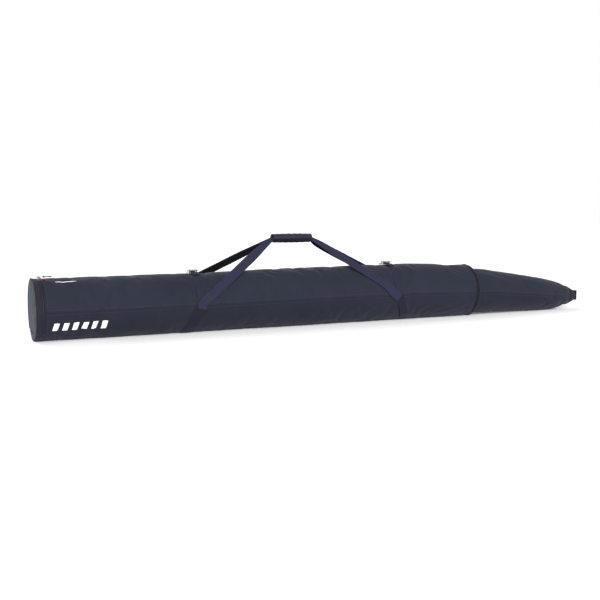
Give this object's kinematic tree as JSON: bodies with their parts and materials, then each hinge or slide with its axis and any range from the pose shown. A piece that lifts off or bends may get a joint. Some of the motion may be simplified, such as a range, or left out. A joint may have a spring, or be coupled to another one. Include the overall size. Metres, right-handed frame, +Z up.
{
  "type": "extendable ski bag",
  "caption": "Long round padded ski bag with a zipped end flap, telescoping tail, cam-buckle straps and a wrapped carry grip.",
  "frame": {"origin": "centre of the footprint, on the floor that the bag lies on", "axes": "+X from the wide zipped end to the tail, +Z up, -Y towards the printed side"},
  "size_m": [2.1, 0.2064, 0.309],
  "materials": {
    "navy_fabric": "woven polyester, matt",
    "webbing": "woven webbing, matt",
    "padding_foam": "closed-cell foam",
    "lining_cloth": "light woven lining",
    "grip_fabric": "padded woven grip",
    "hook_and_loop": "hook and loop tape",
    "printed_mark": "screen print",
    "buckle_metal": "satin plated zinc",
    "pin_steel": "steel",
    "zip_tape": "coil zip on woven tape",
    "zip_metal": "plated zinc",
    "pull_cord": "braided cord",
    "pull_ferrule": "black plastic",
    "piping": "bound piping cord"
  },
  "bodies": {
    "bag": {"upper_panel": "navy_fabric", "lower_panel": "navy_fabric", "foam_padding": "padding_foam", "main_lining": "lining_cloth", "mouth_binding": "webbing", "left_sling": "webbing", "right_sling": "webbing", "anchor_patches": "webbing", "side_bars": "printed_mark", "shoulder_label": "printed_mark", "left_front_strap": "webbing", "left_rear_strap": "webbing", "left_strap_end": "webbing", "left_buckle_frame": "buckle_metal", "left_cam_pin": "pin_steel", "left_cam_spring": "pin_steel", "right_front_strap": "webbing", "right_rear_strap": "webbing", "right_strap_end": "webbing", "right_buckle_frame": "buckle_metal", "right_cam_pin": "pin_steel", "right_cam_spring": "pin_steel", "end_sill": "navy_fabric", "bag_zip_tape": "zip_tape", "zip_stops": "zip_tape"},
    "end_flap": {"end_panel": "navy_fabric", "end_gusset": "navy_fabric", "end_padding": "padding_foam", "end_piping": "piping", "flap_zip_tape": "zip_tape"},
    "front_slider_body": {"front_slider": "zip_metal"},
    "front_pull": {"front_pull_wire": "zip_metal", "front_pull_cord": "pull_cord", "front_pull_ferrule": "pull_ferrule"},
    "rear_slider_body": {"rear_slider": "zip_metal"},
    "rear_pull": {"rear_pull_wire": "zip_metal", "rear_pull_cord": "pull_cord", "rear_pull_ferrule": "pull_ferrule"},
    "handle": {"front_carry_loop": "webbing", "rear_carry_loop": "webbing", "grip_sleeve": "grip_fabric", "grip_loop_strip": "hook_and_loop"},
    "grip_cover": {"grip_flap": "grip_fabric", "grip_hook_strip": "hook_and_loop"},
    "left_cam": {"left_cam_lever": "buckle_metal"},
    "right_cam": {"right_cam_lever": "buckle_metal"},
    "tail": {"tail_upper_panel": "navy_fabric", "tail_lower_panel": "navy_fabric", "tail_lining": "lining_cloth", "tail_hem": "lining_cloth", "tail_tip_binding": "webbing"},
    "tail_grab": {"tail_tab": "webbing"}
  },
  "joints": [
    {"name": "end_flap_fold", "type": "hinge", "parent": "bag", "child": "end_flap", "pos_m": [-1.049, 0, 0.024], "axis": [0, -1, 0], "range_deg": [0, 97]},
    {"name": "front_slider_travel", "type": "hinge", "parent": "bag", "child": "front_slider_body", "pos_m": [-1.0284, 0, 0.091], "axis": [1, 0, 0], "range_deg": [0, 110]},
    {"name": "front_pull_swing", "type": "hinge", "parent": "front_slider_body", "child": "front_pull", "pos_m": [-1.0284, -0.02716, 0.18573], "axis": [-0.7071, -0.6797, -0.1949], "range_deg": [0, 120]},
    {"name": "rear_slider_travel", "type": "hinge", "parent": "bag", "child": "rear_slider_body", "pos_m": [-1.0284, 0, 0.091], "axis": [1, 0, 0], "range_deg": [-121, 0]},
    {"name": "rear_pull_swing", "type": "hinge", "parent": "rear_slider_body", "child": "rear_pull", "pos_m": [-1.0284, 0.00859, 0.18917], "axis": [0, -0.9962, 0.0872], "range_deg": [0, 120]},
    {"name": "handle_swing", "type": "hinge", "parent": "bag", "child": "handle", "pos_m": [-0.2065, 0, 0.192], "axis": [1, 0, 0], "range_deg": [-80, 80], "deforming": ["front_carry_loop", "rear_carry_loop"]},
    {"name": "grip_cover_open", "type": "hinge", "parent": "handle", "child": "grip_cover", "pos_m": [-0.2065, 0.0177, 0.2928], "axis": [-1, 0, 0], "range_deg": [0, 110]},
    {"name": "left_cam_lift", "type": "hinge", "parent": "bag", "child": "left_cam", "pos_m": [-0.554, 0, 0.19511], "axis": [-1, 0, 0], "range_deg": [0, 70], "stiffness_Nm_per_rad": 0.05, "springref_deg": -17.19, "deforming": ["left_cam_spring"]},
    {"name": "right_cam_lift", "type": "hinge", "parent": "bag", "child": "right_cam", "pos_m": [0.16, 0, 0.20484], "axis": [-1, 0, 0], "range_deg": [0, 70], "stiffness_Nm_per_rad": 0.05, "springref_deg": -17.19, "deforming": ["right_cam_spring"]},
    {"name": "tail_extend", "type": "slide", "parent": "bag", "child": "tail", "axis": [0.9999, 0, -0.0153], "range_m": [-0.45, 0]},
    {"name": "tail_tab_swing", "type": "hinge", "parent": "tail", "child": "tail_grab", "pos_m": [1.0259, 0, 0.051], "axis": [0, 0, 1], "range_deg": [-60, 60]}
  ]
}
